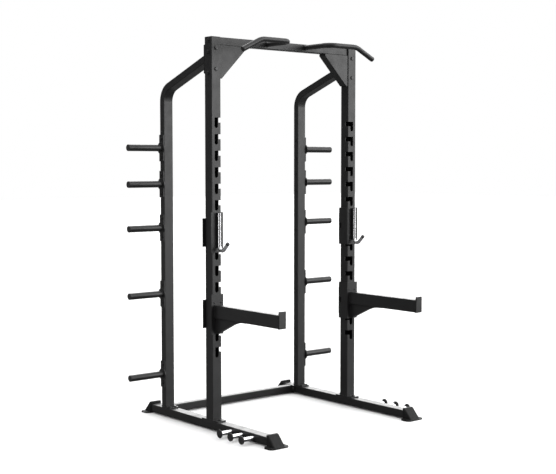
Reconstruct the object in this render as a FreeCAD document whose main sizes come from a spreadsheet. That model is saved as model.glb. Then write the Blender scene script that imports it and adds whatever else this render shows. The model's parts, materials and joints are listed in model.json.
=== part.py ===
import FreeCAD, Part
import math
import os
import re

import Sketcher

# Half rack for barbell training. Two slotted uprights and two bent rear posts stand on
# a pair of floor rails; a crossbeam with gussets and chin-up handles ties the tops, and
# a crossmember ties the rails. Hooks and spotter arms hang in the slots of the uprights.
#
# Frame: +Z up, floor at z = 0, +X to the rack's side, -Y to its front, origin in the
# middle of the floor area. Millimetres. Only the left half (-X) is drawn; the right half
# is its mirror image.

SIZES = {
    # overall
    "rack_width": 1200,        # over the outer faces of the uprights
    "rack_height": 2400,       # floor to the top of the uprights
    "base_length": 1360,       # tip of front foot to tip of rear foot
    "front_reach": 606,        # tip of front foot to front face of upright
    "post_spacing": 508,       # front face of upright to front face of rear post
    "fit_gap": 0.3,            # between pieces that slide on each other
    # tubes and plates
    "upright_side": 70,
    "tube_wall": 3,
    "corner_round": 5,
    "plate": 8,                # base plates, mounting plates and brackets
    "plate_reach": 45,         # base plates, beyond the tube that they carry
    "bolt_edge": 20,           # bolt centre to the end of a plate
    "cap_height": 6,
    "cap_plug": 6,
    # slots in the uprights, a notch open to the inner side and a slot below it
    "slot_count": 15,
    "slot_pitch": 100,
    "slot_start": 451,         # bottom of the lowest slot above the floor
    "slot_width": 25,
    "slot_height": 63,
    "notch_height": 30,
    "notch_wrap": 25,
    # rear posts
    "post_depth": 45,
    "post_bend": 100,
    "post_slope": 20.2,        # degrees above level of the top run
    "post_drop": 134,          # middle of the top run's end, below the rack's top
    "post_plate_height": 175,
    "post_plate_drop": 45,
    "post_bolt_high": 67,      # below the rack's top
    "post_bolt_low": 194,
    "post_bolt_side": 20,      # base bolts of the rear post, each side of its middle
    # rails, feet and crossmember
    "rail_height": 50,
    "rail_inset": 60,          # end of rail behind the tip of the foot
    "foot_length": 81,
    "foot_width": 143,
    "foot_flange": 8,
    "foot_wall": 6,
    "foot_top": 74,
    "foot_nose": 7,           # foot of the nose behind the tip of the flange
    "foot_brow": 67,           # top of the nose behind the tip of the flange
    "foot_hole": 12,
    "foot_hole_edge": 15,      # hole centre to the side of the flange
    "foot_hole_back": 40,      # hole centre behind the tip
    "foot_round": 28,
    "foot_brow_round": 10,
    "foot_side_round": 8,
    "cross_side": 50,
    "cross_setback": 562,      # front face of upright to front face of crossmember
    "cross_plate": 6,
    "cross_ear": 25,           # end plate beyond the crossmember, each way
    "cross_bolt": 12,          # bolt centre beyond the crossmember
    # crossbeam and gussets
    "beam_side": 50,
    "beam_wall": 3,
    "beam_bolt": 25,           # below the rack's top
    "gusset_leg": 200,
    "gusset_lip": 12,
    "gusset_depth": 60,
    "gusset_wall": 4,
    "gusset_bolt_high": 93,    # below the rack's top
    "gusset_bolt_low": 219,
    # chin-up handles
    "handle_diameter": 32,
    "handle_wall": 3,
    "handle_root": 157,        # root from the rack's middle
    "handle_drop": 21,         # axis below the rack's top
    "handle_reach": 222,       # axis of the grip in front of the uprights
    "handle_bend": 60,
    "handle_knee": 391,        # where the grip turns down, from the rack's middle
    "handle_tip": 532,
    "handle_droop": 26,        # degrees
    "handle_knee_bend": 110,
    "handle_cap": 6,
    # plate storage horns
    "horn_diameter": 42,
    "horn_wall": 3,
    "horn_length": 253,        # rear post's outer face to the end of the tube
    "horn_cap": 4,
    "horn_plate": 6,
    "horn_plate_height": 170,
    "horn_collar": 74,
    "horn_collar_thick": 5,
    "horn_bolt_reach": 60,     # bolts above and below the horn's axis
    # band pegs on the floor rails
    "peg_diameter": 25,
    "peg_length": 90,
    "peg_cap": 50,
    "peg_cap_thick": 8,
    "peg_first": 195,          # in front of the uprights
    "peg_pitch": 104,
    # bracket that hangs a hook or an arm in two slots
    "bracket_height": 245,
    "bracket_below_pin": 67,   # bottom of bracket below the lower pin
    "bracket_lap": 47,         # outer edge of the front plate from the upright's middle
    "flange_lap": 50,          # outer edge of the rear flange from the upright's middle
    "flange_height": 175,
    "flange_start": 32,
    "fold_inside": 1.6,
    "liner": 4.5,
    "liner_inset": 6,
    "pin_reach": 22,
    "sight_width": 20,         # long hole in the bracket's side
    "sight_height": 42,
    "sight_round": 9.8,
    "sight_back": 52,          # its middle behind the upright's front face
    "hook_slot": 7,            # slot of the lower pin, counted up from the lowest slot
    "arm_slot": 2,
    # hook
    "rod_diameter": 22,
    "rod_drop": 3,             # top of rod below the top of the bracket
    "rod_low": 13.5,             # lowest point of its axis above the bracket's bottom
    "rod_bend": 27,
    "rod_turn": 135,           # degrees, from straight down to the tip's direction
    "rod_tip": 45,
    "tip_lip": 0.5,            # tip cap beyond the rod, all round
    "tip_length": 10,
    "rod_seam": 0.1,
    "spine_width": 12,         # bar that holds the rod off the front plate
    "spine_depth": 10,
    "spine_low": 30,           # its lower end above the bracket's bottom
    # spotter arm
    "arm_width": 50,
    "arm_height": 80,
    "arm_low": 99,             # underside of the arm above the bracket's bottom
    "arm_reach": 622,          # outer face of the end plate, in front of the upright
    "arm_stop": 20,            # end plate above the arm
    "web_width": 30,           # folded web under the arm
    "web_reach": 300,
    "web_slope": 25,           # degrees
    "web_bend": 320,
    "web_edge": 3,
    # fasteners
    "bolt": 12,
    "horn_bolt": 10,
    "bolt_play": 1,            # hole diameter over the bolt's
    "hex_flats": 1.6,          # heads and nuts over their flats, per bolt diameter
    "head_height": 0.6,        # per bolt diameter
    "nut_height": 0.8,
}

HORN_HEIGHTS = {"horn_1": 1735, "horn_2": 1505, "horn_3": 1225, "horn_4": 800, "horn_5": 279}
PEGS = 3
EDGE_MARGIN = 0.1    # how close to a face an edge has to lie to be picked with it

# Places that several pieces share, worked out from the sizes
RAIL_TOP = "(foot_flange + rail_height)"
DECK = "(foot_flange + rail_height + plate)"
UPRIGHT_X = "(rack_width / 2 - upright_side / 2)"
FRONT = "(front_reach - base_length / 2)"
HALF = "(upright_side / 2)"
BEAM_LOW = "(rack_height - beam_side)"
POST_MIDDLE = "(post_spacing + post_depth / 2)"
HOLE = "(bolt + bolt_play)"
PLATE_FACE = "(plate + fit_gap)"

document = FreeCAD.newDocument("half_rack")
sheet = document.addObject("Spreadsheet::Sheet", "Sizes")


def fill_sheet():
    """Write each driving dimension into the sheet, with its name as the alias."""
    for row, (name, value) in enumerate({**SIZES, **HORN_HEIGHTS}.items(), start=1):
        sheet.set(f"A{row}", name)
        sheet.set(f"B{row}", str(value))
        sheet.setAlias(f"B{row}", name)
    document.recompute()


def formula(text):
    """Turn the size names in a text into references to the sheet."""
    names = {**SIZES, **HORN_HEIGHTS}
    return re.sub(r"[a-z]\w*", lambda word: "Sizes." + word[0] if word[0] in names else word[0], str(text))


def number(text):
    """The present value of a formula."""
    return float(sheet.evalExpression(formula(text)))


def bind(thing, **settings):
    """Bind properties of an object to formulas, such as Length or Placement_Base_x."""
    for name, text in settings.items():
        thing.setExpression(name.replace("_", "."), formula(text))


def left_station(thing):
    """Put a piece's own origin under the front face of the left upright, in its middle."""
    bind(thing, Placement_Base_x=f"-{UPRIGHT_X}", Placement_Base_y=FRONT)


def tilt(thing, axis, degrees):
    """Turn a piece about an axis through its own origin, by a formula in degrees."""
    thing.Placement.Rotation = FreeCAD.Rotation(axis, number(degrees))
    thing.setExpression("Placement.Rotation.Angle", formula(degrees))


# --- sketches -------------------------------------------------------------------

def new_body(label):
    body = document.addObject("PartDesign::Body", label)
    body.Label = label
    left_station(body)
    return body


def new_sketch(body, plane, level):
    """An empty sketch on an origin plane of the body, moved to a level along the axis."""
    sketch = body.newObject("Sketcher::SketchObject", body.Name + "_sketch")
    origin_plane = next(item for item in body.Origin.OriginFeatures if item.Role == plane)
    sketch.AttachmentSupport = (origin_plane, [""])
    sketch.MapMode = "FlatFace"
    normal = "-1" if plane == "XZ_Plane" else "1"
    sketch.setExpression("AttachmentOffset.Base.z", formula(f"{normal} * ({level})"))
    return sketch


def constrain(sketch, text, *description):
    """Add a dimension to a sketch and bind it to a formula."""
    index = sketch.addConstraint(Sketcher.Constraint(*description, number(text)))
    sketch.setExpression(f"Constraints[{index}]", formula(text))


def pin_point(sketch, geometry, end, corner):
    """Fix a point of a sketch at a pair of formulas."""
    constrain(sketch, corner[0], "DistanceX", -1, 1, geometry, end)
    constrain(sketch, corner[1], "DistanceY", -1, 1, geometry, end)


def bend_at(before, corner, after, radius):
    """The two ends and the middle of the arc that rounds a corner."""
    inward = (before - corner).normalize()
    outward = (after - corner).normalize()
    half_angle = inward.getAngle(outward) / 2
    reach = radius / math.tan(half_angle)
    centre = corner + (inward + outward).normalize() * (radius / math.sin(half_angle))
    return corner + inward * reach, corner + outward * reach, centre


def draw_line(sketch, corners, closed=True):
    """Draw straight runs through the corners; a third value in a corner rounds it."""
    points = [FreeCAD.Vector(number(corner[0]), number(corner[1]), 0) for corner in corners]
    count = len(corners)
    starts, ends, bends = list(points), list(points), {}
    for i, corner in enumerate(corners):
        if len(corner) == 3:
            bend = bend_at(points[i - 1], points[i], points[(i + 1) % count], number(corner[2]))
            ends[i], starts[i], bends[i] = bend
    runs = count if closed else count - 1
    lines = [sketch.addGeometry(Part.LineSegment(starts[i], ends[(i + 1) % count])) for i in range(runs)]
    for i, corner in enumerate(corners):
        inner = closed or 0 < i < count - 1
        before = lines[i - 1] if inner else None
        if i in bends:
            round_corner(sketch, before, lines[i], (ends[i], starts[i], bends[i]), corner)
            continue
        if inner:
            sketch.addConstraint(Sketcher.Constraint("Coincident", before, 2, lines[i], 1))
        if i < runs:
            pin_point(sketch, lines[i], 1, corner)
        else:
            pin_point(sketch, lines[-1], 2, corner)


def round_corner(sketch, before, after, bend, corner):
    """Join two runs by an arc whose corner point and radius are bound."""
    end, start, centre = bend
    first = math.atan2(end.y - centre.y, end.x - centre.x)
    last = math.atan2(start.y - centre.y, start.x - centre.x)
    counter_clockwise = (last - first) % (2 * math.pi) < math.pi
    circle = Part.Circle(centre, FreeCAD.Vector(0, 0, 1), end.distanceToPoint(centre))
    angles = (first, last) if counter_clockwise else (last, first)
    arc = sketch.addGeometry(Part.ArcOfCircle(circle, *angles))
    in_end, out_end = (1, 2) if counter_clockwise else (2, 1)
    vertex = sketch.addGeometry(Part.Point(FreeCAD.Vector(number(corner[0]), number(corner[1]), 0)), True)
    pin_point(sketch, vertex, 1, corner)
    sketch.addConstraint(Sketcher.Constraint("PointOnObject", vertex, 1, before))
    sketch.addConstraint(Sketcher.Constraint("PointOnObject", vertex, 1, after))
    sketch.addConstraint(Sketcher.Constraint("Tangent", before, 2, arc, in_end))
    sketch.addConstraint(Sketcher.Constraint("Tangent", arc, out_end, after, 1))
    constrain(sketch, corner[2], "Radius", arc)


def outline(body, plane, level, *loops):
    """A sketch of one or more closed loops."""
    sketch = new_sketch(body, plane, level)
    for corners in loops:
        draw_line(sketch, corners)
    return sketch


def path(body, plane, level, corners):
    sketch = new_sketch(body, plane, level)
    draw_line(sketch, corners, closed=False)
    return sketch


def circles(body, plane, level, centres, *diameters):
    """A sketch of round outlines, one for each diameter at each centre."""
    sketch = new_sketch(body, plane, level)
    for centre in centres:
        for diameter in diameters:
            middle = FreeCAD.Vector(number(centre[0]), number(centre[1]), 0)
            circle = Part.Circle(middle, FreeCAD.Vector(0, 0, 1), number(diameter) / 2)
            geometry = sketch.addGeometry(circle)
            pin_point(sketch, geometry, 3, centre)
            constrain(sketch, diameter, "Diameter", geometry)
    return sketch


def block(left, right, low, high, radius=None):
    """The four corners of a rectangle, rounded if a radius is given."""
    corners = [(left, low), (right, low), (right, high), (left, high)]
    return [corner + (radius,) for corner in corners] if radius else corners


def tube_section(left, right, low, high, wall):
    """The outer and the inner outline of a square or rectangular tube."""
    outer = block(left, right, low, high, "corner_round")
    inner = block(f"{left} + {wall}", f"{right} - {wall}", f"{low} + {wall}", f"{high} - {wall}",
                  f"corner_round - {wall}")
    return outer, inner


# --- features -------------------------------------------------------------------

def pad(body, sketch, length, symmetric=False, backwards=False):
    """Grow a sketch along its plane's axis, which points forward (-Y) for XZ_Plane."""
    feature = body.newObject("PartDesign::Pad", body.Name + "_pad")
    feature.Profile = sketch
    bind(feature, Length=length)
    feature.SideType = "Symmetric" if symmetric else "One side"
    feature.Reversed = backwards
    return feature


def cut(body, sketch, depth=None):
    """Cut a sketch through the body, or to a depth shared between both sides."""
    feature = body.newObject("PartDesign::Pocket", body.Name + "_cut")
    feature.Profile = sketch
    feature.SideType = "Symmetric"
    if depth is None:
        feature.Type = "ThroughAll"
    else:
        bind(feature, Length=depth)
    return feature


def sweep(body, profile, spine):
    feature = body.newObject("PartDesign::AdditivePipe", body.Name + "_sweep")
    feature.Profile = profile
    feature.Spine = spine
    return feature


def soften(body, feature, radius, wanted):
    """Round the edges of a feature whose middle point passes a test."""
    document.recompute()
    edges = [f"Edge{i}" for i, edge in enumerate(feature.Shape.Edges, start=1)
             if wanted(edge.valueAt((edge.FirstParameter + edge.LastParameter) / 2))]
    fillet = body.newObject("PartDesign::Fillet", body.Name + "_fillet")
    fillet.Base = (feature, edges)
    bind(fillet, Radius=radius)
    return fillet


# --- frame ----------------------------------------------------------------------

def upright():
    """Square tube with a base plate, a column of slots and the bolt holes of its neighbours."""
    body = new_body("left_upright")
    plan = tube_section(f"-{HALF}", HALF, "0", "upright_side", "tube_wall")
    pad(body, outline(body, "XY_Plane", DECK, *plan), f"rack_height - cap_height - {DECK}")
    base = block(f"-{HALF}", HALF, "-plate_reach", "upright_side + plate_reach", "corner_round")
    pad(body, outline(body, "XY_Plane", RAIL_TOP, base), "plate")
    cut(body, circles(body, "XY_Plane", DECK, upright_base_holes(), HOLE), "3 * plate")
    cut(body, circles(body, "XZ_Plane", HALF, post_plate_holes(), HOLE))
    cut(body, circles(body, "YZ_Plane", "0", beam_holes(), HOLE))
    cut_slots(body)
    return body


def cut_slots(body):
    """One slot through the front wall with its notch round the inner corner, repeated upwards."""
    top = "slot_start + slot_height"
    centre = "slot_start + slot_width / 2"
    front = [("-slot_width / 2", centre), ("slot_width / 2", centre),
             ("slot_width / 2", f"{top} - notch_height"), ("upright_side", f"{top} - notch_height"),
             ("upright_side", top), ("-slot_width / 2", top)]
    side = block("-tube_wall", "notch_wrap", f"{top} - notch_height", top)
    features = [
        cut(body, outline(body, "XZ_Plane", "0", front), "2 * corner_round"),
        cut(body, circles(body, "XZ_Plane", "0", [("0", centre)], "slot_width"), "2 * corner_round"),
        cut(body, outline(body, "YZ_Plane", HALF, side), "2 * corner_round"),
    ]
    pattern = body.newObject("PartDesign::LinearPattern", "slot_column")
    pattern.Originals = features
    axis = next(item for item in body.Origin.OriginFeatures if item.Role == "Z_Axis")
    pattern.Direction = (axis, [""])
    bind(pattern, Length="slot_pitch * (slot_count - 1)", Occurrences="slot_count")
    body.Tip = pattern


def upright_cap():
    """Plastic cap with rounded edges and a short plug inside the tube."""
    body = new_body("left_upright_cap")
    plate = block(f"-{HALF}", HALF, "0", "upright_side", "corner_round")
    top = pad(body, outline(body, "XY_Plane", "rack_height - cap_height", plate), "cap_height")
    soften(body, top, "cap_height / 3", lambda middle: middle.z > number("rack_height") - EDGE_MARGIN)
    inner = "(tube_wall + fit_gap)"
    plug = block(f"-{HALF} + {inner}", f"{HALF} - {inner}", inner, f"upright_side - {inner}",
                 "corner_round - tube_wall")
    pad(body, outline(body, "XY_Plane", "rack_height - cap_height", plug), "cap_plug", backwards=True)
    return body


def rear_post():
    """Rectangular tube that rises behind the upright and bends forward to meet it."""
    body = new_body("left_rear_post")
    joint = "(upright_side + plate)"
    top = "rack_height - post_drop"
    fall = f"({POST_MIDDLE} - {joint}) * tan(post_slope)"
    overrun = "upright_side / 3"
    spine = path(body, "YZ_Plane", "0", [
        (POST_MIDDLE, DECK), (POST_MIDDLE, f"{top} - {fall}", "post_bend"),
        (f"{joint} - {overrun}", f"{top} + {overrun} * tan(post_slope)")])
    section = tube_section(f"-{HALF}", HALF, "post_spacing", "post_spacing + post_depth", "tube_wall")
    sweep(body, outline(body, "XY_Plane", DECK, *section), spine)
    waste = block("-upright_side", "upright_side", f"{top} - post_plate_height", f"{top} + post_plate_height")
    cut(body, outline(body, "XZ_Plane", "0", waste), f"2 * {joint}")
    plate_low = "rack_height - post_plate_drop - post_plate_height"
    plate = block(f"-{HALF}", HALF, plate_low, "rack_height - post_plate_drop", "corner_round")
    pad(body, outline(body, "XZ_Plane", joint, plate), "plate")
    base = block(f"-{HALF}", HALF, "post_spacing - plate_reach", "post_spacing + post_depth", "corner_round")
    pad(body, outline(body, "XY_Plane", RAIL_TOP, base), "plate")
    cut(body, circles(body, "XZ_Plane", joint, post_plate_holes(), HOLE), "3 * plate")
    cut(body, circles(body, "XY_Plane", DECK, post_base_holes(), HOLE), "3 * plate")
    cut(body, circles(body, "YZ_Plane", "0", horn_holes(), "horn_bolt + bolt_play"))
    return body


def base_rail():
    """Floor rail under the upright and the rear post."""
    body = new_body("left_base_rail")
    front = "(front_reach - rail_inset)"
    section = tube_section(f"-{HALF}", HALF, "foot_flange", RAIL_TOP, "tube_wall")
    pad(body, outline(body, "XZ_Plane", f"-{front}", *section), "base_length - 2 * rail_inset",
        backwards=True)
    holes = upright_base_holes() + post_base_holes()
    cut(body, circles(body, "XY_Plane", RAIL_TOP, holes, HOLE), "4 * tube_wall")
    cut(body, circles(body, "YZ_Plane", HALF, crossmember_holes(), HOLE), "4 * tube_wall")
    return body


def front_foot():
    """Moulded shoe on the rail's end, with a floor flange and an ear each side for an anchor."""
    body = new_body("left_front_foot")
    tip = "-front_reach"
    flange = block("-foot_width / 2", "foot_width / 2", tip, f"{tip} + foot_length", "foot_round")
    pad(body, outline(body, "XY_Plane", "0", flange), "foot_flange")
    back = f"{tip} + foot_length"
    profile = [(f"{tip} + foot_nose", "foot_flange"), (back, "foot_flange"), (back, "foot_top"),
               (f"{tip} + foot_brow", "foot_top", "foot_brow_round")]
    shoe_width = "(upright_side + 2 * foot_wall)"
    shoe = pad(body, outline(body, "YZ_Plane", "0", profile), shoe_width, symmetric=True)
    side = number(f"{shoe_width} / 2") - EDGE_MARGIN
    low = number("foot_flange") + EDGE_MARGIN
    rear = number(back) - EDGE_MARGIN
    soften(body, shoe, "foot_side_round",
           lambda middle: abs(middle.x) > side and middle.z > low and middle.y < rear)
    socket = block(f"-{HALF} - fit_gap", f"{HALF} + fit_gap", "foot_flange", f"{RAIL_TOP} + fit_gap")
    depth = "(foot_length - rail_inset)"
    cut(body, outline(body, "XZ_Plane", back, socket), f"2 * {depth}")
    ear = "foot_width / 2 - foot_hole_edge"
    holes = [(f"-({ear})", f"{tip} + foot_hole_back"), (ear, f"{tip} + foot_hole_back")]
    cut(body, circles(body, "XY_Plane", "foot_flange", holes, "foot_hole"), "3 * foot_flange")
    return body


def crossbeam():
    """Square tube between the tops of the uprights, closed by a thick plate at each end."""
    body = new_body("top_crossbeam")
    bind(body, Placement_Base_x="0")
    length = "(rack_width - 2 * upright_side)"
    low = f"{HALF} - beam_side / 2"
    high = f"{HALF} + beam_side / 2"
    outer = block(low, high, BEAM_LOW, "rack_height", "corner_round")
    pad(body, outline(body, "YZ_Plane", "0", outer), length, symmetric=True)
    inner = block(f"{low} + beam_wall", f"{high} - beam_wall", f"{BEAM_LOW} + beam_wall",
                  "rack_height - beam_wall")
    cut(body, outline(body, "YZ_Plane", "0", inner), f"{length} - 2 * plate")
    cut(body, circles(body, "YZ_Plane", "0", [beam_holes()[0]], HOLE))
    return body


def gusset():
    """Boxed corner brace, open at the top where it is welded under the crossbeam."""
    body = new_body("left_gusset")
    inset = "gusset_lip - gusset_wall * (sqrt(2) - 1)"
    outer = [(HALF, BEAM_LOW), (f"{HALF} + gusset_leg", BEAM_LOW),
             (f"{HALF} + gusset_leg", f"{BEAM_LOW} - gusset_lip"),
             (f"{HALF} + gusset_lip", f"{BEAM_LOW} - gusset_leg"), (HALF, f"{BEAM_LOW} - gusset_leg")]
    pad(body, outline(body, "XZ_Plane", HALF, outer), "gusset_depth", symmetric=True)
    left = f"{HALF} + gusset_wall"
    right = f"{HALF} + gusset_leg - gusset_wall"
    low = f"{BEAM_LOW} - gusset_leg + gusset_wall"
    inner = [(left, f"{BEAM_LOW} + gusset_wall"), (right, f"{BEAM_LOW} + gusset_wall"),
             (right, f"{BEAM_LOW} - ({inset})"), (f"{HALF} + {inset}", low), (left, low)]
    cut(body, outline(body, "XZ_Plane", HALF, inner), "gusset_depth - 2 * gusset_wall")
    cut(body, circles(body, "YZ_Plane", HALF, beam_holes()[1:], HOLE), "4 * gusset_wall")
    return body


def pullup_handle():
    """Round tube that leaves the crossbeam forwards, turns outwards and droops to its tip."""
    body = new_body("left_pullup_handle")
    bind(body, Placement_Base_x="0")
    level = "(rack_height - handle_drop)"
    straight = "(handle_knee - handle_knee_bend / 2)"
    root = f"{HALF} - beam_side / 2"
    plan = path(body, "XY_Plane", level, [
        ("-handle_root", root), ("-handle_root", "-handle_reach", "handle_bend"),
        (f"-{straight}", "-handle_reach")])
    bore = "handle_diameter - 2 * handle_wall"
    ring = circles(body, "XZ_Plane", root, [("-handle_root", level)], "handle_diameter", bore)
    sweep(body, ring, plan)
    drop = "(handle_tip - handle_knee) * tan(handle_droop)"
    elevation = path(body, "XZ_Plane", "-handle_reach", [
        (f"-{straight}", level), ("-handle_knee", level, "handle_knee_bend"),
        ("-handle_tip", f"{level} - {drop}")])
    ring = circles(body, "YZ_Plane", f"-{straight}", [("-handle_reach", level)], "handle_diameter", bore)
    sweep(body, ring, elevation)
    return body


def pullup_handle_cap():
    """Domed plastic cap on the open end of a handle."""
    body = new_body("left_pullup_handle_cap")
    drop = "(handle_tip - handle_knee) * tan(handle_droop)"
    bind(body, Placement_Base_x="-handle_tip", Placement_Base_y=f"{FRONT} - handle_reach",
         Placement_Base_z=f"rack_height - handle_drop - {drop}")
    tilt(body, FreeCAD.Vector(0, 1, 0), "-90 - handle_droop")
    dome = pad(body, circles(body, "XY_Plane", "0", [("0", "0")], "handle_diameter"), "handle_cap")
    face = number("handle_cap") - EDGE_MARGIN
    soften(body, dome, "handle_cap * 0.8", lambda middle: middle.z > face)
    plug = circles(body, "XY_Plane", "0", [("0", "0")], "handle_diameter - 2 * handle_wall - 2 * fit_gap")
    pad(body, plug, "2 * handle_cap", backwards=True)
    return body


def crossmember():
    """Square tube between the rails, with an end plate bolted to each rail."""
    body = new_body("rear_crossmember")
    bind(body, Placement_Base_x="0")
    back = "cross_setback + cross_side"
    clear = "(rack_width - 2 * upright_side)"
    section = tube_section("cross_setback", back, "foot_flange", RAIL_TOP, "tube_wall")
    pad(body, outline(body, "YZ_Plane", "0", *section), clear, symmetric=True)
    ear = block("cross_setback - cross_ear", f"{back} + cross_ear", "foot_flange", RAIL_TOP, "corner_round")
    left = outline(body, "YZ_Plane", f"-{clear} / 2", ear)
    pad(body, left, "cross_plate")
    right = outline(body, "YZ_Plane", f"{clear} / 2", ear)
    pad(body, right, "cross_plate", backwards=True)
    cut(body, circles(body, "YZ_Plane", "0", crossmember_holes(), HOLE))
    return body


# --- storage horns and band pegs ------------------------------------------------

def storage_horn(name):
    """Plate, collar and tube of one storage horn, on the outer face of the rear post."""
    body = new_body("left_storage_" + name)
    bind(body, Placement_Base_z=name)
    half_height = "horn_plate_height / 2"
    plate = block("post_spacing", "post_spacing + post_depth", f"-{half_height}", half_height, "corner_round")
    pad(body, outline(body, "YZ_Plane", f"-{HALF}", plate), "horn_plate", backwards=True)
    centre = [(POST_MIDDLE, "0")]
    face = f"-{HALF} - horn_plate"
    bore = "horn_diameter - 2 * horn_wall"
    pad(body, circles(body, "YZ_Plane", face, centre, "horn_collar", bore), "horn_collar_thick",
        backwards=True)
    pad(body, circles(body, "YZ_Plane", face, centre, "horn_diameter", bore), "horn_length - horn_plate",
        backwards=True)
    bolts = [(POST_MIDDLE, "-horn_bolt_reach"), (POST_MIDDLE, "horn_bolt_reach")]
    cut(body, circles(body, "YZ_Plane", face, bolts, "horn_bolt + bolt_play"), "3 * horn_plate")
    return body


def horn_caps():
    """The plugs in the open ends of one side's horns."""
    caps = []
    for name in HORN_HEIGHTS:
        body = new_body("left_cap_of_" + name)
        bind(body, Placement_Base_z=name)
        end = f"-{HALF} - horn_length"
        centre = [(POST_MIDDLE, "0")]
        head = circles(body, "YZ_Plane", end, centre, "horn_diameter")
        disc = pad(body, head, "horn_cap", backwards=True)
        face = number(f"{end} - horn_cap") + EDGE_MARGIN
        soften(body, disc, "horn_cap / 2", lambda middle: middle.x < face)
        plug = circles(body, "YZ_Plane", end, centre, "horn_diameter - 2 * horn_wall - 2 * fit_gap")
        pad(body, plug, "3 * horn_cap")
        caps.append(body)
    return group("left_horn_caps", caps)


def band_pegs():
    """Bright pegs on the outer side of the rail."""
    pegs = []
    for peg in range(PEGS):
        body = new_body(f"left_peg_{peg + 1}")
        stud = circles(body, "YZ_Plane", f"-{HALF}", [peg_centre(peg)], "peg_diameter")
        pad(body, stud, "peg_length", backwards=True)
        pegs.append(body)
    return group("left_band_pegs", pegs)


def band_peg_caps():
    """Round stops on the ends of the pegs."""
    caps = []
    for peg in range(PEGS):
        body = new_body(f"left_peg_cap_{peg + 1}")
        end = f"-{HALF} - peg_length"
        disc = pad(body, circles(body, "YZ_Plane", end, [peg_centre(peg)], "peg_cap"), "peg_cap_thick",
                   backwards=True)
        soften(body, disc, "peg_cap_thick / 4", lambda middle: True)
        caps.append(body)
    return group("left_band_peg_caps", caps)


def peg_centre(peg):
    return f"-peg_first - {peg} * peg_pitch", "foot_flange + rail_height / 2"


# --- hooks and spotter arms -----------------------------------------------------

def bracket_base(slot):
    """Height of a bracket's bottom when its lower pin lies in the given slot."""
    return f"(slot_start + {slot} * slot_pitch + slot_width / 2 - bracket_below_pin)"


SIDE_INNER = f"({HALF} + fit_gap + liner)"


def bracket(label, slot):
    """Plate folded round the front, inner side and back of the upright, with two pins."""
    body = new_body(label)
    bind(body, Placement_Base_z=bracket_base(slot))
    side_outer = f"({SIDE_INNER} + plate)"
    front_outer = f"-{PLATE_FACE}"
    back_inner = "(upright_side + fit_gap)"
    back_outer = f"({back_inner} + plate)"
    fold = "fold_inside + plate"
    plan = [("-bracket_lap", front_outer), (side_outer, front_outer, fold),
            (side_outer, back_inner), (SIDE_INNER, back_inner),
            (SIDE_INNER, "-fit_gap", "fold_inside"), ("-bracket_lap", "-fit_gap")]
    pad(body, outline(body, "XY_Plane", "0", plan), "bracket_height")
    flange = [("-flange_lap", back_inner), (side_outer, back_inner), (side_outer, back_outer, fold),
              ("-flange_lap", back_outer)]
    pad(body, outline(body, "XY_Plane", "flange_start", flange), "flange_height")
    lower = "bracket_below_pin"
    pins = [("0", lower), ("0", f"{lower} + slot_pitch")]
    pin = circles(body, "XZ_Plane", "pin_reach", pins, "slot_width - 2 * fit_gap")
    pad(body, pin, f"pin_reach + {PLATE_FACE} / 2")
    middle = "bracket_height / 2"
    half_width = "sight_width / 2"
    sight = block(f"sight_back - {half_width}", f"sight_back + {half_width}", f"{middle} - sight_height / 2",
                  f"{middle} + sight_height / 2", "sight_round")
    cut(body, outline(body, "YZ_Plane", side_outer, sight), "3 * plate")
    return body


def liner(label, slot):
    """Plastic strip between the bracket and the upright's inner side."""
    body = new_body(label)
    bind(body, Placement_Base_z=bracket_base(slot))
    strip = block("liner_inset", "upright_side - liner_inset", "liner_inset", "bracket_height - liner_inset",
                  "corner_round")
    pad(body, outline(body, "YZ_Plane", SIDE_INNER, strip), "liner", backwards=True)
    return body


def jhook_bracket():
    """Bracket of the hook, with a bar down its front plate that the rod stands on."""
    body = bracket("left_jhook_bracket", "hook_slot")
    spine = block("-spine_width / 2", "spine_width / 2", "spine_low", "bracket_height - rod_drop")
    pad(body, outline(body, "XZ_Plane", f"-{PLATE_FACE}", spine), "spine_depth")
    return body


ROD_AXIS = "(plate + fit_gap + spine_depth + rod_seam + rod_diameter / 2)"
ROD_CORNER = "(rod_bend * tan(rod_turn / 2))"


def rod_tip(reach):
    """Place of a point on the hook's tip, a distance beyond the end of its bend."""
    along = f"({ROD_CORNER} + {reach})"
    centre = "(rod_low + rod_bend)"
    back = f"-{ROD_AXIS} - {along} * sin(rod_turn)"
    up = f"{centre} - {ROD_CORNER} - {along} * cos(rod_turn)"
    return back, up


def jhook_rod():
    """Bright round bar down the bracket's front, bent forward and up to cradle the barbell."""
    body = new_body("left_jhook_rod")
    bind(body, Placement_Base_z=bracket_base("hook_slot"))
    top = "bracket_height - rod_drop"
    spine = path(body, "YZ_Plane", "0", [
        (f"-{ROD_AXIS}", top), (f"-{ROD_AXIS}", f"rod_low + rod_bend - {ROD_CORNER}", "rod_bend"),
        rod_tip("rod_tip")])
    sweep(body, circles(body, "XY_Plane", top, [("0", f"-{ROD_AXIS}")], "rod_diameter"), spine)
    return body


def jhook_tip():
    """Rounded cap on the end of the hook."""
    body = new_body("left_jhook_tip")
    forward, up = rod_tip("rod_tip")
    bind(body, Placement_Base_y=f"{FRONT} + ({forward})",
         Placement_Base_z=f"{bracket_base('hook_slot')} + {up}")
    tilt(body, FreeCAD.Vector(1, 0, 0), "180 - rod_turn")
    cap = pad(body, circles(body, "XY_Plane", "0", [("0", "0")], "rod_diameter + 2 * tip_lip"), "tip_length")
    face = number("tip_length") - EDGE_MARGIN
    soften(body, cap, "tip_length / 3", lambda middle: middle.z > face)
    return body


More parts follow.
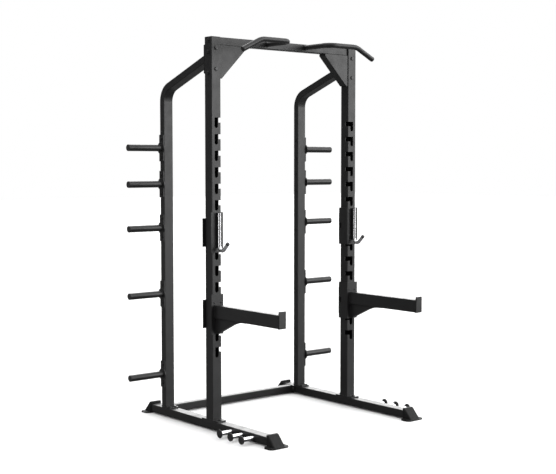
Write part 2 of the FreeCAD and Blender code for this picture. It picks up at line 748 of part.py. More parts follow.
def arm_tube():
    """Rectangular tube of the spotter arm, from its bracket to its end plate."""
    body = new_body("left_arm_tube")
    bind(body, Placement_Base_z=bracket_base("arm_slot"))
    section = tube_section("-arm_width / 2", "arm_width / 2", "arm_low", "arm_low + arm_height", "tube_wall")
    pad(body, outline(body, "XZ_Plane", f"-{PLATE_FACE}", *section), f"arm_reach - plate - {PLATE_FACE}")
    return body


def arm_web():
    """Folded web that braces the arm from below, with its long edge running into the tube."""
    body = new_body("left_arm_web")
    bind(body, Placement_Base_z=bracket_base("arm_slot"))

    def edge(offset):
        """The web's outline, moved in by an offset from its lower edge."""
        low = f"(arm_low - web_edge + {offset})"
        rise = f"{offset} / cos(web_slope)"
        corner = f"-{PLATE_FACE} - ({low} - {rise}) / tan(web_slope)"
        return [(f"-{PLATE_FACE}", f"arm_low + {offset}"), ("-web_reach", f"arm_low + {offset}"),
                ("-web_reach", low), (corner, low, "web_bend"), (f"-{PLATE_FACE}", rise)]

    pad(body, outline(body, "YZ_Plane", "0", edge("0")), "web_width", symmetric=True)
    cut(body, outline(body, "YZ_Plane", "0", edge("tube_wall")), "web_width - 2 * tube_wall")
    return body


def arm_end_plate():
    """Plate that closes the arm and stands above it as a stop."""
    body = new_body("left_arm_end_plate")
    bind(body, Placement_Base_z=bracket_base("arm_slot"))
    face = block("-arm_width / 2", "arm_width / 2", "arm_low", "arm_low + arm_height + arm_stop",
                 "corner_round / 2")
    pad(body, outline(body, "XZ_Plane", "plate - arm_reach", face), "plate")
    return body


# --- fasteners ------------------------------------------------------------------

def upright_base_holes():
    front = "-plate_reach + bolt_edge"
    back = "upright_side + plate_reach - bolt_edge"
    return [("0", front), ("0", back)]


def post_base_holes():
    row = "post_spacing - plate_reach + bolt_edge"
    return [("-post_bolt_side", row), ("post_bolt_side", row)]


def post_plate_holes():
    return [("0", "rack_height - post_bolt_high"), ("0", "rack_height - post_bolt_low")]


def beam_holes():
    """Bolts through the upright's side: one into the crossbeam, two into the gusset."""
    return [(HALF, f"rack_height - {drop}") for drop in ("beam_bolt", "gusset_bolt_high", "gusset_bolt_low")]


def horn_holes():
    return [(POST_MIDDLE, f"{name} {side} horn_bolt_reach") for name in HORN_HEIGHTS for side in "+-"]


def crossmember_holes():
    level = "foot_flange + rail_height / 2"
    return [("cross_setback - cross_bolt", level), ("cross_setback + cross_side + cross_bolt", level)]


TURNS = {
    "down": FreeCAD.Rotation(FreeCAD.Vector(1, 0, 0), 180),
    "back": FreeCAD.Rotation(FreeCAD.Vector(1, 0, 0), -90),
    "inward": FreeCAD.Rotation(FreeCAD.Vector(0, 1, 0), 90),
    "outward": FreeCAD.Rotation(FreeCAD.Vector(0, 1, 0), -90),
}


def hexagon(flats, height, level):
    """Hexagonal prism on the Z axis, sized over its flats."""
    prism = document.addObject("Part::Prism", "hexagon")
    prism.Polygon = 6
    bind(prism, Circumradius=f"{flats} / sqrt(3)", Height=height, Placement_Base_z=level)
    return prism


def cylinder(diameter, height, level):
    shaft = document.addObject("Part::Cylinder", "shaft")
    bind(shaft, Radius=f"{diameter} / 2", Height=height, Placement_Base_z=level)
    return shaft


def combine(kind, base, tool, place, turn):
    """Fuse or cut two shapes, then put the result at its place in the left station."""
    result = document.addObject(kind, "fastener")
    result.Base = base
    result.Tool = tool
    result.Placement = FreeCAD.Placement(FreeCAD.Vector(), TURNS[turn])
    bind(result, Placement_Base_x=f"{place[0]} - {UPRIGHT_X}", Placement_Base_y=f"{place[1]} + {FRONT}",
         Placement_Base_z=place[2])
    return result


def bolt_and_nut(size, grip, place, turn):
    """Hex bolt whose head seats at a place, and its nut past the grip."""
    head = hexagon(f"{size} * hex_flats", f"{size} * head_height", f"-{size} * head_height")
    shank = cylinder(size, f"{grip} + {size}", "0")
    nut = hexagon(f"{size} * hex_flats", f"{size} * nut_height", grip)
    bore = cylinder(f"{size} + fit_gap", f"{size} * 2", f"{grip} - {size} / 2")
    return [combine("Part::Fuse", head, shank, place, turn), combine("Part::Cut", nut, bore, place, turn)]


def upright_base_bolts():
    grip = "(plate + tube_wall)"
    bolts = [bolt_and_nut("bolt", grip, (x, y, DECK), "down") for x, y in upright_base_holes()]
    return pair_of_groups("upright_base_bolts", bolts)


def rear_post_bolts():
    bolts = [bolt_and_nut("bolt", "(plate + tube_wall)", (x, y, DECK), "down") for x, y in post_base_holes()]
    through = "(upright_side + plate)"
    bolts += [bolt_and_nut("bolt", through, (x, "0", z), "back") for x, z in post_plate_holes()]
    return pair_of_groups("rear_post_bolts", bolts)


def crossbeam_bolts():
    grips = ["(upright_side + plate)"] + 2 * ["(upright_side + gusset_wall)"]
    bolts = [bolt_and_nut("bolt", grip, (f"-{HALF}", y, z), "inward")
             for grip, (y, z) in zip(grips, beam_holes())]
    return pair_of_groups("crossbeam_bolts", bolts)


def horn_bolts():
    grip = "(upright_side + horn_plate)"
    bolts = [bolt_and_nut("horn_bolt", grip, (f"-{HALF} - horn_plate", y, z), "inward")
             for y, z in horn_holes()]
    return pair_of_groups("horn_bolts", bolts)


def crossmember_bolts():
    grip = "(cross_plate + tube_wall)"
    bolts = [bolt_and_nut("bolt", grip, (f"{HALF} + cross_plate", y, z), "outward")
             for y, z in crossmember_holes()]
    return pair_of_groups("crossmember_bolts", bolts)


# --- assembly -------------------------------------------------------------------

def group(label, members):
    """Separate solids of one kind, held under one name."""
    compound = document.addObject("Part::Compound", label)
    compound.Label = label
    compound.Links = members
    return compound


def pair_of_groups(label, bolts):
    """The fasteners of the left side and their mirror images, as one group."""
    left = group("left_" + label, [piece for bolt in bolts for piece in bolt])
    right = mirror(left, "right_" + label)
    return group(label, [left, right])


def mirror(source, label, normal=(1, 0, 0)):
    """Mirror image of a piece in the rack's middle plane, or in its cross plane."""
    image = document.addObject("Part::Mirroring", label)
    image.Label = label
    image.Source = source
    image.Normal = normal
    return image


def left_pieces():
    pieces = [upright(), upright_cap(), rear_post(), base_rail(), front_foot(), gusset(),
              pullup_handle(), pullup_handle_cap()]
    pieces += [storage_horn(name) for name in HORN_HEIGHTS]
    pieces += [horn_caps(), band_pegs(), band_peg_caps()]
    pieces += [jhook_bracket(), liner("left_jhook_liner", "hook_slot"),
               jhook_rod(), jhook_tip()]
    pieces += [bracket("left_arm_bracket", "arm_slot"), liner("left_arm_liner", "arm_slot"),
               arm_tube(), arm_web(), arm_end_plate()]
    front = next(piece for piece in pieces if piece.Label == "left_front_foot")
    pieces.append(mirror(front, "left_rear_foot", (0, 1, 0)))
    return pieces


def check():
    """Stop if any object failed, a cut removed nothing or a piece has no valid shape."""
    for item in document.Objects:
        if "Invalid" in item.State or "Error" in item.State:
            raise RuntimeError(f"{item.Label} failed: {item.State}")
        if item.TypeId == "PartDesign::Pocket" and item.BaseFeature.Shape.Volume - item.Shape.Volume < 1:
            raise RuntimeError(f"{item.Label} cuts nothing")


def write(pieces):
    os.makedirs("parts", exist_ok=True)
    for piece in pieces:
        shape = piece.Shape
        if shape.isNull() or not shape.isValid():
            raise RuntimeError(f"{piece.Label} has no valid shape")
        shape.exportStep(os.path.join("parts", piece.Label + ".step"))


fill_sheet()
left = left_pieces()
right = [mirror(piece, piece.Label.replace("left_", "right_")) for piece in left]
middle = [crossbeam(), crossmember()]
fasteners = [upright_base_bolts(), rear_post_bolts(), crossbeam_bolts(), horn_bolts(), crossmember_bolts()]
document.recompute()
check()
write(left + right + middle + fasteners)
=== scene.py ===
import json
import math

import bmesh
import bpy
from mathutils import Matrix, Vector, noise


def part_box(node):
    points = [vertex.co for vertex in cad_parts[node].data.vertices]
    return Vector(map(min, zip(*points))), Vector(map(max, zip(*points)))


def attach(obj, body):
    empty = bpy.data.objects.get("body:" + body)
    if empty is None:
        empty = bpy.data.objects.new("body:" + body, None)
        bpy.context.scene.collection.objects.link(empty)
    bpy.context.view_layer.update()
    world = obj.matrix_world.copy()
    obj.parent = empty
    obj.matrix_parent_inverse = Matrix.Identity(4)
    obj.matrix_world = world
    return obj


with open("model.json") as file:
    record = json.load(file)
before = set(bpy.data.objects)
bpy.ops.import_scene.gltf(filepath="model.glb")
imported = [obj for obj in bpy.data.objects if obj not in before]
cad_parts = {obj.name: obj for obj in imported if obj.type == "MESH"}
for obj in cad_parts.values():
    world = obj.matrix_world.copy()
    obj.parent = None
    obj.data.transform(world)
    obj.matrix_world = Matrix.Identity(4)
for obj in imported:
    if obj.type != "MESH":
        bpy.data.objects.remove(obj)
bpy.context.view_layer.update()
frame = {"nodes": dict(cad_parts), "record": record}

# Looks of the half rack: coatings, chrome and plastics, the weld beads, the washers and
# the screws of the brackets. Metres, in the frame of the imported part: -Y is the front.

MM = 0.001
SIDES = ("left", "right")
HORNS = range(1, 6)

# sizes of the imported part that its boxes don't give
PLATE = 8 * MM                 # base plates and brackets
THIN_PLATE = 6 * MM            # end plates of the crossmember, plates of the horns
HORN_COLLAR = 5 * MM
COLLAR_RADIUS = 37 * MM
HORN_RADIUS = 21 * MM
POST_DEPTH = 45 * MM
CROSS_EAR = 25 * MM
HEAD_PER_FLATS = 0.375         # height of a bolt's head, per width over its flats

# details added here
BEAD = 2.4 * MM                # radius of a weld bead
RIPPLE = 3.2 * MM
BEAD_SIDES = 7
RIPPLE_DEPTH = 0.22
BEAD_JITTER = 0.15
JITTER_SCALE = 140
ROUND_STEPS = 28
HORN_BEAD = 0.7 * BEAD         # radius of the beads on a horn
ROD_BEAD = 0.8 * BEAD          # radius of the beads beside the bright rod
ROD_BEAD_SIDE = 0.45           # how far they lie from the rod's middle, per radius of the rod
ROD_BEAD_LOW = 52 * MM         # their lower end, above the bracket's bottom
GUSSET_INSET = 6 * MM          # what the gusset's bead stops short of each end
BOLT_LENGTH = 1.4              # a bolt is longer than this, per width over its flats; a nut isn't
WASHER_THICK = 1.6 * MM
WASHER_REACH = 1.34            # washer's radius, per half of the head's width over its flats
SAME_POINT = 1e-5
SCREW_SIDE = 25 * MM           # bracket screws, each side of the bracket's middle
SCREW_RADIUS = 6 * MM
JHOOK_SCREW_UP = 27 * MM       # above the bracket's bottom
ARM_SCREW_DOWN = 52 * MM       # below the bracket's top
SCREW_PROFILE = [              # share of the radius, and height, from the rim into the socket
    (1.0, 0.0), (1.0, 0.6 * MM), (0.88, 2.0 * MM), (0.62, 2.9 * MM),
    (0.46, 3.1 * MM), (0.42, 2.9 * MM), (0.42, 1.2 * MM)]

# wear: how far a rounded normal has turned on an edge, and the noise that breaks it up
EDGE_TURN = (0.985, 0.86)
WEAR_GAPS = (0.48, 0.66)
BEVEL_SAMPLES = 4

# stage, light and camera
FLOOR_HALF = 40
FLOOR_SEEN = (0.90, 0.93)      # brightness to the camera
FLOOR_LIT = 0.12               # brightness to every other ray
DIM_ROOM = 0.04                # light from where no wall faces
WALLS = [                      # direction, sharpness and strength
    ((0.0, 0.0, 1.0), 1.5, 1.75),
    ((0.72, -0.69, 0.05), 6.0, 5.2),
    ((0.66, 0.75, 0.15), 6.0, 4.2)]
STRIPS = {"strip_left": (-1.0, 0.05, 0.0), "strip_right": (0.35, -1.0, 0.0)}
STRIP_POWER = 30
STRIP_SIZE = (0.7, 2.6)
STRIP_DISTANCE = 5.0
STRIP_TARGET = Vector((0, 0, 1.2))
CAMERA_PLACE = (-4.735, -5.624, 1.639)
CAMERA_TILT = 90 - 3.7
CAMERA_TURN = -40
FOCAL_LENGTH = 73.96
SENSOR_WIDTH = 36

ALONG = {"x": Vector((1, 0, 0)), "y": Vector((0, 1, 0)), "z": Vector((0, 0, 1))}


# --- materials ------------------------------------------------------------------

class Finish:
    """A material with a principled shader, and short calls that add nodes to it."""

    def __init__(self, name):
        self.material = bpy.data.materials.new(name)
        self.material.use_nodes = True
        self.tree = self.material.node_tree
        self.shader = self.tree.nodes["Principled BSDF"]
        self.place = self.add("ShaderNodeTexCoord").outputs["Object"]

    def add(self, kind, inputs=(), **settings):
        node = self.tree.nodes.new(kind)
        for name, value in settings.items():
            setattr(node, name, value)
        for name, value in dict(inputs).items():
            self.plug(node.inputs[name], value)
        return node

    def plug(self, socket, value):
        if isinstance(value, bpy.types.NodeSocket):
            self.tree.links.new(value, socket)
        else:
            socket.default_value = value

    def grain(self, scale, detail=2.0, stretch=(1, 1, 1)):
        """Noise with about `scale` spots to the metre."""
        place = self.add("ShaderNodeMapping", {"Vector": self.place, "Scale": stretch}).outputs["Vector"]
        inputs = {"Vector": place, "Scale": scale, "Detail": detail}
        return self.add("ShaderNodeTexNoise", inputs).outputs[0]

    def span(self, value, start, end, low, high):
        """Map a value's range from start to end onto low to high."""
        inputs = {"Value": value, "From Min": start, "From Max": end, "To Min": low, "To Max": high}
        return self.add("ShaderNodeMapRange", inputs).outputs["Result"]

    def patches(self, scale, detail, within, onto=(0.0, 1.0)):
        """Grain, with the part of its range that lies within two values mapped onto two others."""
        return self.span(self.grain(scale, detail), *within, *onto)

    def product(self, first, second):
        node = self.add("ShaderNodeMath", operation="MULTIPLY")
        self.plug(node.inputs[0], first)
        self.plug(node.inputs[1], second)
        return node.outputs["Value"]

    def blend(self, amount, first, second):
        """Mix two colours by an amount."""
        node = self.add("ShaderNodeMix", data_type="RGBA")
        colours = [socket for socket in node.inputs if socket.type == "RGBA"]
        self.plug(node.inputs[0], amount)
        self.plug(colours[0], first)
        self.plug(colours[1], second)
        return next(socket for socket in node.outputs if socket.type == "RGBA")

    def round_edges(self, radius):
        """Normals that turn smoothly over an edge."""
        return self.add("ShaderNodeBevel", {"Radius": radius}, samples=BEVEL_SAMPLES).outputs["Normal"]

    def edges(self, rounded, spots):
        """1 on worn edges and 0 elsewhere, broken up by noise with so many spots to the metre."""
        flat = self.add("ShaderNodeNewGeometry").outputs["Normal"]
        node = self.add("ShaderNodeVectorMath", operation="DOT_PRODUCT")
        self.plug(node.inputs[0], rounded)
        self.plug(node.inputs[1], flat)
        edge = self.span(node.outputs["Value"], *EDGE_TURN, 0.0, 1.0)
        return self.product(edge, self.patches(spots, 3.0, WEAR_GAPS))

    def relief(self, height, depth, normal=None):
        """Bump of a given depth in metres."""
        inputs = {"Height": height, "Distance": depth, "Strength": 1.0}
        if normal:
            inputs["Normal"] = normal
        return self.add("ShaderNodeBump", inputs).outputs["Normal"]

    def finish(self, colour, roughness, normal, metallic=0.0, specular=0.5):
        self.plug(self.shader.inputs["Base Color"], colour)
        self.plug(self.shader.inputs["Roughness"], roughness)
        self.plug(self.shader.inputs["Normal"], normal)
        self.shader.inputs["Metallic"].default_value = metallic
        self.shader.inputs["Specular IOR Level"].default_value = specular
        return self.material


def grey(level, blue=1.03):
    return level, level, level * blue, 1.0


def powder_coat():
    """Satin black coat: orange peel, faint clouds of tone, edges rubbed a little paler."""
    look = Finish("black_powder_coat")
    rounded = look.round_edges(1.2 * MM)
    worn = look.edges(rounded, 45)
    clouds = look.patches(5, 4.0, within=(0.35, 0.65))
    coat = look.blend(clouds, grey(0.0125), grey(0.0165))
    colour = look.blend(look.product(worn, 0.55), coat, grey(0.075))
    roughness = look.patches(18, 3.0, within=(0.3, 0.7), onto=(0.33, 0.43))
    peel = look.relief(look.grain(520, 2.0), 0.05 * MM, rounded)
    return look.finish(colour, roughness, peel, specular=0.4)


def plastic():
    """Black moulded plastic with a fine spark-eroded grain."""
    look = Finish("black_plastic")
    rounded = look.round_edges(0.8 * MM)
    clouds = look.patches(22, 3.0, within=(0.35, 0.65))
    colour = look.blend(clouds, grey(0.012), grey(0.019))
    roughness = look.patches(60, 2.0, within=(0.3, 0.7), onto=(0.44, 0.58))
    cells = look.add("ShaderNodeTexVoronoi", {"Vector": look.place, "Scale": 1100.0}).outputs["Distance"]
    return look.finish(colour, roughness, look.relief(cells, 0.06 * MM, rounded))


def rubber():
    """Matt black rubber, a little dusty, with a coarse mould grain."""
    look = Finish("black_rubber")
    rounded = look.round_edges(1.5 * MM)
    dust = look.patches(30, 5.0, within=(0.5, 0.72), onto=(0.0, 0.6))
    colour = look.blend(dust, grey(0.007), grey(0.020, 0.97))
    roughness = look.patches(90, 3.0, within=(0.3, 0.7), onto=(0.5, 0.68))
    grain = look.relief(look.grain(700, 3.0), 0.12 * MM, rounded)
    return look.finish(colour, roughness, grain, specular=0.25)


def chrome():
    """Polished chrome with hair scratches round the bar and a few dull rubs."""
    look = Finish("chrome")
    rubs = look.patches(35, 4.0, within=(0.5, 0.75))
    colour = look.blend(rubs, grey(0.8, 1.02), grey(0.66, 1.0))
    roughness = look.patches(60, 4.0, within=(0.35, 0.7), onto=(0.05, 0.15))
    hairs = look.grain(90, 3.0, stretch=(1, 1, 24))
    return look.finish(colour, roughness, look.relief(hairs, 0.01 * MM), metallic=1.0)


def blackened_steel():
    """Bolts and nuts: black oxide that is rubbed bright along the corners of the hexagons."""
    look = Finish("black_fasteners")
    rounded = look.round_edges(0.7 * MM)
    worn = look.edges(rounded, 160)
    clouds = look.patches(120, 3.0, within=(0.35, 0.65))
    oxide = look.blend(clouds, grey(0.022), grey(0.036))
    colour = look.blend(worn, oxide, grey(0.16, 1.0))
    roughness = look.patches(240, 2.0, within=(0.3, 0.7), onto=(0.28, 0.42))
    oxide_grain = look.relief(look.grain(900, 2.0), 0.03 * MM, rounded)
    return look.finish(colour, roughness, oxide_grain, metallic=0.35)


def pale_floor():
    """Plain pale floor with the faintest tone in it, which throws back less light than it shows."""
    look = Finish("floor")
    dark, light = FLOOR_SEEN
    pale = look.blend(look.grain(0.8, 2.0), grey(dark, 1.0), grey(light, 1.0))
    seen = look.add("ShaderNodeLightPath").outputs["Is Camera Ray"]
    colour = look.blend(seen, grey(FLOOR_LIT, 1.0), pale)
    return look.finish(colour, 0.9, look.relief(look.grain(60, 2.0), 0.02 * MM))


finishes = {
    "black_powder_coat": powder_coat(),
    "black_plastic": plastic(),
    "black_rubber": rubber(),
    "chrome": chrome(),
    "black_fasteners": blackened_steel(),
}


def coat_nodes():
    """Give every CAD node the finish of its slot in the record."""
    for entry in frame["record"]["subparts"]:
        mesh = frame["nodes"][entry["node"]].data
        mesh.materials.clear()
        mesh.materials.append(finishes[entry["material_slot"]])


# --- added pieces ---------------------------------------------------------------

def add_piece(name, work, slot, body):
    """Turn a mesh in work into a piece with its slot's finish, riding on a body."""
    bmesh.ops.recalc_face_normals(work, faces=work.faces)
    mesh = bpy.data.meshes.new(name)
    work.to_mesh(mesh)
    work.free()
    mesh.shade_smooth()
    mesh.materials.append(finishes[slot])
    piece = bpy.data.objects.new(name, mesh)
    bpy.context.scene.collection.objects.link(piece)
    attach(piece, body)


def join_rings(work, rings, closed):
    """Skin a row of rings; an open row is closed by a face at each end."""
    count = len(rings[0])
    pairs = list(zip(rings, rings[1:]))
    if closed:
        pairs.append((rings[-1], rings[0]))
    for ring, following in pairs:
        for i in range(count):
            j = (i + 1) % count
            work.faces.new((ring[i], ring[j], following[j], following[i]))
    if not closed:
        work.faces.new(rings[0])
        work.faces.new(rings[-1])


def finely(points, closed):
    """The points of a line, half a ripple apart, with an even number of steps on each straight."""
    corners = points + points[:1] if closed else points
    line = []
    for start, end in zip(corners, corners[1:]):
        steps = 2 * max(1, round((end - start).length / RIPPLE))
        line += [start.lerp(end, step / steps) for step in range(steps)]
    return line if closed else line + [corners[-1]]


def ring(centre, side, other, radius, steps):
    """Points on a circle, from its centre and two directions square to each other."""
    turns = [2 * math.pi * i / steps for i in range(steps)]
    return [centre + radius * (math.cos(turn) * side + math.sin(turn) * other) for turn in turns]


def bead(work, points, across, closed=False, radius=BEAD):
    """A rippled weld bead along a line that is nowhere parallel to `across`."""
    line = finely([Vector(point) for point in points], closed)
    rings = []
    for i, point in enumerate(line):
        before = line[i - 1] if closed or i else line[0]
        after = line[(i + 1) % len(line)] if closed or i + 1 < len(line) else line[-1]
        out = (after - before).cross(across).normalized()
        size = radius * (1 - RIPPLE_DEPTH * (i % 2) + BEAD_JITTER * noise.noise(point * JITTER_SCALE))
        rings.append([work.verts.new(spot) for spot in ring(point, out, across, size, BEAD_SIDES)])
    join_rings(work, rings, closed)


def rectangle(axis, level, low, high):
    """The corners of a rectangle across an axis, from two corners of its box."""
    first, second = [i for i in range(3) if i != "xyz".index(axis)]
    corners = []
    for a, b in ((low, low), (high, low), (high, high), (low, high)):
        point = Vector((level, level, level))
        point[first] = a[first]
        point[second] = b[second]
        corners.append(point)
    return corners


def circle(centre, axis, radius):
    """Points on a circle round an axis."""
    side = ALONG[axis].orthogonal().normalized()
    return ring(Vector(centre), side, ALONG[axis].cross(side), radius, ROUND_STEPS)


def turned(work, centre, direction, profile):
    """A turned shape from (radius, height) pairs, standing on a centre along a direction."""
    axis = Vector(direction).normalized()
    side = axis.orthogonal().normalized()
    other = axis.cross(side)
    rings = []
    for radius, height in profile:
        level = Vector(centre) + height * axis
        rings.append([work.verts.new(spot) for spot in ring(level, side, other, radius, ROUND_STEPS)])
    join_rings(work, rings, closed=False)


# --- weld beads -----------------------------------------------------------------

def frame_beads():
    work = bmesh.new()
    for side in SIDES:
        upright_beads(work, side)
        post_beads(work, side)
        gusset_beads(work, side)
        handle_bead(work, side)
        for horn in HORNS:
            horn_beads(work, f"{side}_storage_horn_{horn}")
    crossmember_beads(work)
    add_piece("frame_weld_beads", work, "black_powder_coat", "frame")


def upright_beads(work, side):
    """Round the foot of the upright, on its base plate."""
    low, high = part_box(f"{side}_upright_cap")
    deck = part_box(f"{side}_upright")[0].z + PLATE
    bead(work, rectangle("z", deck, low, high), ALONG["z"], closed=True)


def post_beads(work, side):
    """Round the foot of the rear post, on its base plate."""
    low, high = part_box(f"{side}_rear_post")
    corner = Vector((low.x, high.y - POST_DEPTH, low.z))
    bead(work, rectangle("z", low.z + PLATE, corner, high), ALONG["z"], closed=True)


def gusset_beads(work, side):
    """Along the gusset's front and back edges under the crossbeam."""
    low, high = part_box(f"{side}_gusset")
    beam_low, beam_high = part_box("top_crossbeam")
    start, end = low.x + GUSSET_INSET, high.x - GUSSET_INSET
    for level in (beam_low.y, beam_high.y):
        bead(work, [(start, level, beam_low.z), (end, level, beam_low.z)], ALONG["y"])


def handle_bead(work, side):
    """Round the root of the chin-up handle, on the crossbeam."""
    low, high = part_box(f"{side}_pullup_handle")
    radius = handle_radius(side)
    middle = min(abs(low.x), abs(high.x)) + radius
    centre = Vector((math.copysign(middle, low.x), high.y, high.z - radius))
    bead(work, circle(centre, "y", radius), ALONG["y"], closed=True)


def handle_radius(side):
    """Half the height of the handle's root, read from the points on the crossbeam's face."""
    mesh = frame["nodes"][f"{side}_pullup_handle"].data
    back = max(vertex.co.y for vertex in mesh.vertices)
    heights = [vertex.co.z for vertex in mesh.vertices if back - vertex.co.y < SAME_POINT]
    return (max(heights) - min(heights)) / 2


def horn_beads(work, node):
    """Round the collar on its plate, and round the tube on the collar."""
    low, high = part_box(node)
    outward = 1 if low.x > 0 else -1
    face = low.x if outward > 0 else high.x
    middle = (low + high) / 2
    plate_face = face + outward * THIN_PLATE
    collar_face = plate_face + outward * HORN_COLLAR
    for level, radius in ((plate_face, COLLAR_RADIUS - HORN_BEAD), (collar_face, HORN_RADIUS)):
        line = circle((level, middle.y, middle.z), "x", radius)
        bead(work, line, ALONG["x"], closed=True, radius=HORN_BEAD)


def crossmember_beads(work):
    """Round both ends of the crossmember, on its end plates."""
    low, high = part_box("rear_crossmember")
    low.y += CROSS_EAR
    high.y -= CROSS_EAR
    for level in (low.x + THIN_PLATE, high.x - THIN_PLATE):
        bead(work, rectangle("x", level, low, high), ALONG["x"], closed=True)


def arm_beads():
    """Round the arm's ends and along its web."""
    for side in SIDES:
        work = bmesh.new()
        low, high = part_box(f"{side}_arm_tube")
        web_low, web_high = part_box(f"{side}_arm_web")
        bead(work, rectangle("y", high.y, low, high), ALONG["y"], closed=True)
        bead(work, rectangle("y", low.y, low, high), ALONG["y"], closed=True)
        for edge in (web_low.x, web_high.x):
            start = (edge, web_low.y + BEAD, low.z)
            bead(work, [start, (edge, web_high.y - BEAD, low.z)], ALONG["x"])
            bead(work, [(edge, web_high.y, web_low.z + BEAD), (edge, web_high.y, low.z)], ALONG["x"])
        add_piece(f"{side}_arm_weld_beads", work, "black_powder_coat", f"{side}_arm")


def jhook_beads():
    """Down both sides of the bright rod, where it is welded to the bracket's bar."""
    for side in SIDES:
        work = bmesh.new()
        low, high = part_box(f"{side}_jhook_rod")
        radius = (high.x - low.x) / 2
        middle = (high.x + low.x) / 2
        top = high.z - 2 * BEAD
        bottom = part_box(f"{side}_jhook_bracket")[0].z + ROD_BEAD_LOW
        for way in (-1, 1):
            edge = middle + way * radius * ROD_BEAD_SIDE
            bead(work, [(edge, high.y, top), (edge, high.y, bottom)], ALONG["x"], radius=ROD_BEAD)
        add_piece(f"{side}_jhook_weld_beads", work, "black_powder_coat", f"{side}_jhook")


# --- washers and screws ---------------------------------------------------------

def solids(node):
    """The separate solids of a CAD node, each as the list of its points."""
    work = bmesh.new()
    work.from_mesh(frame["nodes"][node].data)
    bmesh.ops.remove_doubles(work, verts=work.verts, dist=SAME_POINT)
    seen = set()
    found = []
    for first in work.verts:
        if first in seen:
            continue
        seen.add(first)
        waiting = [first]
        points = []
        while waiting:
            vertex = waiting.pop()
            points.append(vertex.co.copy())
            for edge in vertex.link_edges:
                other = edge.other_vert(vertex)
                if other not in seen:
                    seen.add(other)
                    waiting.append(other)
        found.append(points)
    work.free()
    return found


def bolt_seat(points):
    """Seat, direction of the head and width over flats of a bolt; nothing for a nut."""
    low = Vector([min(point[i] for point in points) for i in range(3)])
    high = Vector([max(point[i] for point in points) for i in range(3)])
    spans = sorted(range(3), key=lambda i: high[i] - low[i])
    axis = spans[2]
    flats = high[spans[0]] - low[spans[0]]
    if high[axis] - low[axis] < BOLT_LENGTH * flats:
        return None
    centre = (low + high) / 2

    def width_at(end):
        """Greatest distance from the axis among the points of one end."""
        offsets = [point - centre for point in points if abs(point[axis] - end) < SAME_POINT]
        for offset in offsets:
            offset[axis] = 0
        return max(offset.length for offset in offsets)

    way = 1 if width_at(high[axis]) > width_at(low[axis]) else -1
    end = high[axis] if way > 0 else low[axis]
    seat = centre.copy()
    seat[axis] = end - way * flats * HEAD_PER_FLATS
    direction = Vector((0, 0, 0))
    direction[axis] = way
    return seat, direction, flats


def washer(work, seat, direction, flats):
    """A flat washer on a bolt's seat, with the edges of its rim broken."""
    rim = flats / 2 * WASHER_REACH
    edge = WASHER_THICK / 4
    turned(work, seat, direction, [
        (rim - edge, 0), (rim, edge), (rim, WASHER_THICK - edge),
        (rim - edge, WASHER_THICK), (flats / 4, WASHER_THICK)])


def washers():
    """A flat washer showing under each bolt head."""
    for node in sorted(frame["nodes"]):
        if not node.endswith("_bolts"):
            continue
        work = bmesh.new()
        for points in solids(node):
            found = bolt_seat(points)
            if found:
                washer(work, *found)
        add_piece(f"{node}_washers", work, "black_fasteners", "frame")


def screw(work, centre):
    """Button-head socket screw on a front face."""
    profile = [(SCREW_RADIUS * share, height) for share, height in SCREW_PROFILE]
    turned(work, centre, (0, -1, 0), profile)


def bracket_screws():
    """Two screws in each bracket's front plate."""
    for side in SIDES:
        middle = sum(corner.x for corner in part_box(f"{side}_upright_cap")) / 2
        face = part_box(f"{side}_arm_tube")[1].y
        jhook_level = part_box(f"{side}_jhook_bracket")[0].z + JHOOK_SCREW_UP
        arm_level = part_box(f"{side}_arm_bracket")[1].z - ARM_SCREW_DOWN
        for kind, level in (("jhook", jhook_level), ("arm", arm_level)):
            work = bmesh.new()
            for way in (-1, 1):
                screw(work, (middle + way * SCREW_SIDE, face, level))
            add_piece(f"{side}_{kind}_screws", work, "black_fasteners", f"{side}_{kind}")


# --- stage ----------------------------------------------------------------------

def floor():
    """A wide level floor, which belongs to the stage and not to the part."""
    half = FLOOR_HALF
    mesh = bpy.data.meshes.new("floor")
    corners = [(-half, -half, 0), (half, -half, 0), (half, half, 0), (-half, half, 0)]
    mesh.from_pydata(corners, [], [(0, 1, 2, 3)])
    mesh.materials.append(pale_floor())
    piece = bpy.data.objects.new("floor", mesh)
    bpy.context.scene.collection.objects.link(piece)


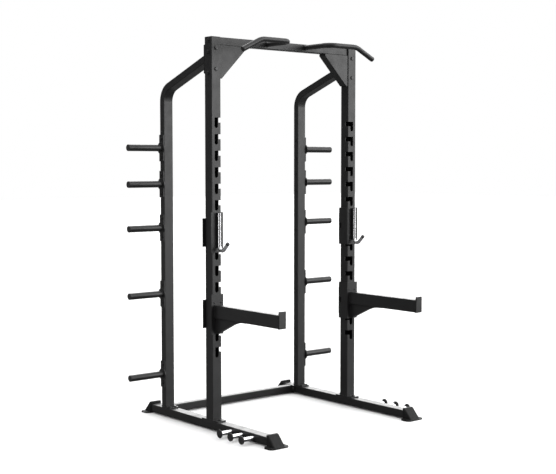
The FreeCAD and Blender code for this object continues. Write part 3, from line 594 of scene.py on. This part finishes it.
def studio_light():
    """A white room whose walls differ in brightness, seen as plain white behind the rack."""
    world = bpy.data.worlds.new("studio")
    bpy.context.scene.world = world
    world.use_nodes = True
    tree = world.node_tree
    sky = tree.nodes["Background"]
    place = tree.nodes.new("ShaderNodeTexCoord").outputs["Generated"]

    def node(kind, *values, operation):
        """A math node with its inputs set or linked."""
        added = tree.nodes.new(kind)
        added.operation = operation
        for socket, value in zip(added.inputs, values):
            if isinstance(value, bpy.types.NodeSocket):
                tree.links.new(value, socket)
            else:
                socket.default_value = value
        return added.outputs["Value"]

    def wall(direction, sharpness, strength):
        """Light from one direction, falling off to the sides."""
        facing = node("ShaderNodeVectorMath", place, direction, operation="DOT_PRODUCT")
        lit = node("ShaderNodeMath", facing, 0.0, operation="MAXIMUM")
        shaped = node("ShaderNodeMath", lit, sharpness, operation="POWER")
        return node("ShaderNodeMath", shaped, strength, operation="MULTIPLY")

    total = DIM_ROOM
    for direction, sharpness, strength in WALLS:
        total = node("ShaderNodeMath", wall(direction, sharpness, strength), total, operation="ADD")
    seen = tree.nodes.new("ShaderNodeLightPath").outputs["Is Camera Ray"]
    unseen = node("ShaderNodeMath", 1.0, seen, operation="SUBTRACT")
    hidden = node("ShaderNodeMath", unseen, total, operation="MULTIPLY")
    strength = node("ShaderNodeMath", hidden, seen, operation="ADD")
    sky.inputs["Color"].default_value = (1, 1, 1, 1)
    tree.links.new(strength, sky.inputs["Strength"])


def strip_light(name, direction):
    """A tall narrow soft light aimed at the rack's middle, for the streaks on the chrome."""
    lamp = bpy.data.lights.new(name, "AREA")
    lamp.shape = "RECTANGLE"
    lamp.size, lamp.size_y = STRIP_SIZE
    lamp.energy = STRIP_POWER
    place = STRIP_TARGET + STRIP_DISTANCE * Vector(direction).normalized()
    holder = bpy.data.objects.new(name, lamp)
    holder.location = place
    holder.rotation_euler = (STRIP_TARGET - place).to_track_quat("-Z", "Y").to_euler()
    bpy.context.scene.collection.objects.link(holder)


def camera():
    """At the photograph's viewing angle, in front and to the left of the rack."""
    lens = bpy.data.cameras.new("camera")
    lens.lens = FOCAL_LENGTH
    lens.sensor_width = SENSOR_WIDTH
    holder = bpy.data.objects.new("camera", lens)
    holder.location = CAMERA_PLACE
    holder.rotation_euler = (math.radians(CAMERA_TILT), 0, math.radians(CAMERA_TURN))
    bpy.context.scene.collection.objects.link(holder)
    bpy.context.scene.camera = holder


coat_nodes()
frame_beads()
arm_beads()
jhook_beads()
washers()
bracket_screws()
floor()
studio_light()
for strip, towards in STRIPS.items():
    strip_light(strip, towards)
camera()
bpy.context.scene.view_settings.view_transform = "Standard"
